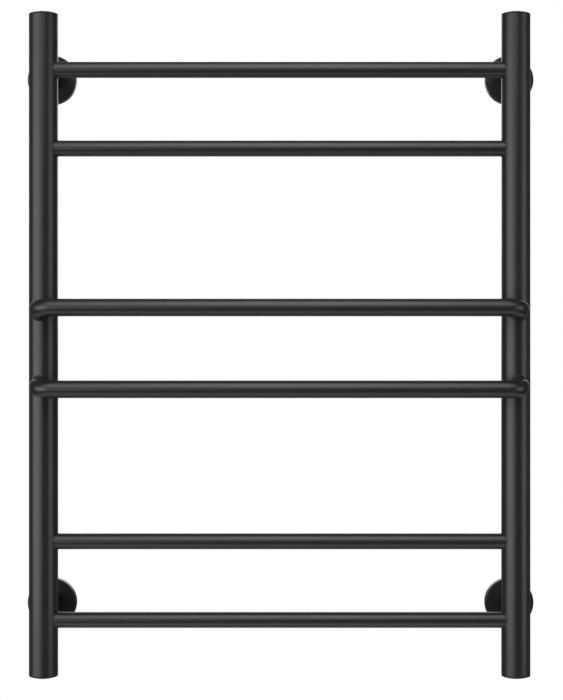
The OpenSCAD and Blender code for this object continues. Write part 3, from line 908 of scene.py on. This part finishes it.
class RACK_OT_rosettes(bpy.types.Operator):
    """Builds the four rosettes that hide the wall plates, with their rubber rings"""
    bl_idname = "towel_rack.rosettes"
    bl_label = "Rosettes"

    def execute(self, context):
        sizes = context.scene.rack_sizes
        edge, sheet = sizes.rosette_edge, sizes.rosette_sheet
        inner = ROSETTE_R - sheet
        hole = POST_R + 2 * sizes.slide_gap
        hub = hole + sizes.hub_wall
        hub_back = ROSETTE_DEPTH - sizes.hub_length
        under = ROSETTE_DEPTH - sheet
        foot = sizes.rosette_foot
        half_groove = RING_SECTION_R + 2 * sizes.slide_gap
        groove_r = RING_R + sizes.slide_gap
        for corner in CORNERS:
            ring_z = -middle(corner + "_rosette_ring").y
            profile = [(inner, 0), (ROSETTE_R - foot, 0), (ROSETTE_R, foot)]
            profile += arc((ROSETTE_R - edge, ROSETTE_DEPTH - edge), edge, 0, 90, 8)
            profile += arc((hole + foot, ROSETTE_DEPTH - foot), foot, 90, 180, 4)
            profile += [(hole, ring_z + half_groove), (groove_r, ring_z + half_groove),
                        (groove_r, ring_z - half_groove), (hole, ring_z - half_groove),
                        (hole, hub_back), (hub, hub_back), (hub, under), (inner, under)]
            place = bracket_place(corner)
            name = corner + "_rosette_shell"
            mesh = turned(name, profile, place, ROSETTE_SIDES, closed=True)
            finished(name, mesh, corner + "_cover", "black_powder_coat", corner + "_rosette")
            section = arc((RING_R - RING_SECTION_R, ring_z), RING_SECTION_R, 0, 360, 16)[:-1]
            name = corner + "_grip_ring"
            mesh = turned(name, section, place, RING_SIDES, closed=True)
            finished(name, mesh, corner + "_cover", "black_rubber", corner + "_rosette_ring")
        return {"FINISHED"}


def punched_plate(name, place, sizes, hole_r):
    """A round plate with its holes, punched and rounded on both faces."""
    edge = sizes.punched_edge
    curve = bpy.data.curves.new(name, "CURVE")
    curve.dimensions = "2D"
    curve.fill_mode = "BOTH"
    curve.extrude = PLATE_T / 2 - edge
    curve.bevel_depth = edge
    curve.bevel_resolution = 3
    curve.offset = -edge
    screw_x, screw_r = sizes.screw_spacing / 2, sizes.screw_hole_r
    # Each circle's place along X, its radius and its number of points.
    circles = [(0, PLATE_R, 96), (0, hole_r, 64), (-screw_x, screw_r, 48),
               (screw_x, screw_r, 48)]
    for x, radius, sides in circles:
        spline = curve.splines.new("POLY")
        spline.points.add(sides - 1)
        for i, point in enumerate(spline.points):
            angle = math.tau * i / sides
            point.co = (x + radius * math.cos(angle), radius * math.sin(angle), 0, 1)
        spline.use_cyclic_u = True
    carrier = bpy.data.objects.new(name, curve)
    bpy.context.scene.collection.objects.link(carrier)
    evaluated = carrier.evaluated_get(bpy.context.evaluated_depsgraph_get())
    mesh = bpy.data.meshes.new_from_object(evaluated)
    bpy.data.objects.remove(carrier)
    mesh.transform(place @ Matrix.Translation((0, 0, PLATE_T / 2)))
    close_seams(mesh)
    return mesh


class RACK_OT_wall_fixings(bpy.types.Operator):
    """Builds the four wall plates and the spigots that stand in them"""
    bl_idname = "towel_rack.wall_fixings"
    bl_label = "Wall Fixings"

    def execute(self, context):
        sizes = context.scene.rack_sizes
        bore, outer, bevel = sizes.spigot_bore, sizes.spigot_r, sizes.cut_edge
        for corner in CORNERS:
            place = bracket_place(corner)
            name = corner + "_plate"
            mesh = punched_plate(name, place, sizes, outer + sizes.slide_gap)
            finished(name, mesh, "wall_fixings", "zinc_plated_steel", corner + "_wall_plate")
            collar = size(corner + "_spigot").x / 2
            profile = [(bore, SPIGOT_LENGTH), (bore, 0), (outer, 0),
                       (outer, PLATE_T), (collar, PLATE_T), (collar, PLATE_T + sizes.collar),
                       (outer, PLATE_T + sizes.collar), (outer, SPIGOT_LENGTH - bevel),
                       (outer - bevel, SPIGOT_LENGTH)]
            name = corner + "_pin"
            mesh = turned(name, profile, place, SPIGOT_SIDES, closed=True)
            finished(name, mesh, "wall_fixings", "turned_steel", corner + "_spigot")
        return {"FINISHED"}


# ---- what runs inside the tubes ----

class RACK_OT_wiring(bpy.types.Operator):
    """Gives the heating cable, the wiring and the cap rings their finishes"""
    bl_idname = "towel_rack.wiring"
    bl_label = "Cable and Wiring"

    def execute(self, context):
        slots = {part["node"]: part["material_slot"] for part in frame["record"]["subparts"]}
        for node in ("heating_cable", "cable_end_seal", "thermal_limiter", "joint_sleeve",
                     "crimp_barrels", "cold_lead", "supply_connector", "earth_wire",
                     "earth_terminal", "earth_screw", "cap_rings"):
            mesh = frame["nodes"][node].data
            mesh.materials.clear()
            mesh.materials.append(finish_of(slots[node]))
        return {"FINISHED"}


# ---- floor, lights and camera ----

# Name, azimuth, elevation, distance, width, height and radiance of each softbox.
SOFTBOXES = (
    ("left_key", -52, 0, 3.0, 2.2, 2.1, 1.0),
    ("left_wide", -48, 0, 3.2, 4.8, 2.1, 1.8),
    ("top_key", 0, 53, 3.0, 1.2, 2.2, 1.7),
    ("top_wide", 0, 52, 3.2, 1.2, 5.4, 1.7),
    ("left_corner", -32, 38, 3.4, 1.8, 1.8, 1.8),
    ("right_corner", 34, 40, 3.4, 1.6, 1.6, 1.8),
    ("right_fill", 65, 0, 3.0, 2.0, 1.9, 1.45),
    ("low_fill", 0, -67, 1.05, 1.6, 0.3, 0.7),
    ("back_fill", 180, 18, 3.0, 2.8, 1.8, 1.6),
)


def aimed(location, target):
    """The rotation of a light at location that shines on target."""
    return (target - location).to_track_quat("-Z", "Y").to_euler()


def softbox(target, name, azimuth, elevation, distance, width, height, radiance):
    """A rectangular area light. Azimuth 0 is straight in front and grows to the right."""
    a, e = math.radians(azimuth), math.radians(elevation)
    offset = Vector((math.sin(a) * math.cos(e), -math.cos(a) * math.cos(e), math.sin(e)))
    light = bpy.data.lights.new(name, "AREA")
    light.shape = "RECTANGLE"
    light.size = width
    light.size_y = height
    light.energy = radiance * math.pi * width * height
    lamp = bpy.data.objects.new(name, light)
    lamp.location = target + offset * distance
    lamp.rotation_euler = aimed(lamp.location, target)
    lamp.visible_camera = False
    bpy.context.scene.collection.objects.link(lamp)


class RACK_OT_studio(bpy.types.Operator):
    """Sets up the floor, the soft lights, the pale room and the camera"""
    bl_idname = "towel_rack.studio"
    bl_label = "Studio"

    def execute(self, context):
        scene = context.scene
        studio = scene.rack_studio
        centre = Vector((0, AXIS_Y, middle("left_upright").z))
        for settings in SOFTBOXES:
            softbox(centre, *settings)
        self.make_room(scene, studio)
        self.make_floor(scene, studio)
        self.make_camera(scene, studio, centre)
        scene.view_settings.view_transform = "Standard"
        return {"FINISHED"}

    def make_room(self, scene, studio):
        """A white backdrop for the camera and dim walls for everything else."""
        world = bpy.data.worlds.new("pale_room")
        scene.world = world
        world.use_nodes = True
        tree = world.node_tree
        tree.nodes.clear()
        seen = add(tree, "ShaderNodeLightPath").outputs["Is Camera Ray"]
        strength = add(tree, "ShaderNodeMapRange", {"Value": seen, "To Min": studio.room,
                                                    "To Max": 1.0})
        backdrop = add(tree, "ShaderNodeBackground", {"Color": (1, 1, 1, 1),
                                                      "Strength": strength.outputs[0]})
        add(tree, "ShaderNodeOutputWorld", {"Surface": backdrop.outputs[0]})

    def make_floor(self, scene, studio):
        """A pale floor far enough below a rack at its usual height on a wall."""
        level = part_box("left_upright")[0].z - studio.floor_drop
        reach = studio.floor_reach
        mesh = bpy.data.meshes.new("floor")
        mesh.from_pydata([(-reach, -reach, level), (reach, -reach, level),
                          (reach, reach, level), (-reach, reach, level)], [], [(0, 1, 2, 3)])
        material, tree, shader = new_material("painted_floor", scene.rack_colours.floor, 0.8)
        roughen(tree, shader, grain(tree, 30 * MM), 0.74, 0.86)
        mesh.materials.append(material)
        floor = bpy.data.objects.new("floor", mesh)
        scene.collection.objects.link(floor)

    def make_camera(self, scene, studio, centre):
        """A camera square to the wall; its lens shift brings the rack back to the middle."""
        data = bpy.data.cameras.new("camera")
        data.lens = studio.lens
        back = studio.sideways / studio.distance * studio.lens / data.sensor_width
        data.shift_x = studio.frame_x - back
        data.shift_y = studio.frame_y
        data.clip_end = 50
        camera = bpy.data.objects.new("camera", data)
        camera.location = centre + Vector((studio.sideways, -studio.distance, 0))
        camera.rotation_euler = (math.pi / 2, 0, 0)
        scene.collection.objects.link(camera)
        scene.camera = camera


# ---- registering and running ----

OPERATORS = (RACK_OT_uprights, RACK_OT_end_caps, RACK_OT_rungs, RACK_OT_front_rails,
             RACK_OT_posts, RACK_OT_weld_beads, RACK_OT_grub_screws, RACK_OT_rosettes,
             RACK_OT_wall_fixings, RACK_OT_wiring, RACK_OT_studio)


class RACK_PT_panel(bpy.types.Panel):
    """Lists the steps that build the towel rack"""
    bl_label = "Towel Rack"
    bl_idname = "RACK_PT_panel"
    bl_space_type = "VIEW_3D"
    bl_region_type = "UI"
    bl_category = "Towel Rack"

    def draw(self, context):
        for operator in OPERATORS:
            self.layout.operator(operator.bl_idname)


GROUPS = (("rack_sizes", RackSizes), ("rack_colours", RackColours),
          ("rack_studio", RackStudio))


def register():
    for name, group in GROUPS:
        bpy.utils.register_class(group)
        setattr(bpy.types.Scene, name, PointerProperty(type=group))
    for each in OPERATORS + (RACK_PT_panel,):
        bpy.utils.register_class(each)


def unregister():
    for each in (RACK_PT_panel,) + OPERATORS[::-1]:
        bpy.utils.unregister_class(each)
    for name, group in GROUPS[::-1]:
        delattr(bpy.types.Scene, name)
        bpy.utils.unregister_class(group)


def main():
    register()
    for operator in OPERATORS:
        family, step = operator.bl_idname.split(".")
        getattr(getattr(bpy.ops, family), step)()


if __name__ == "__main__":
    main()
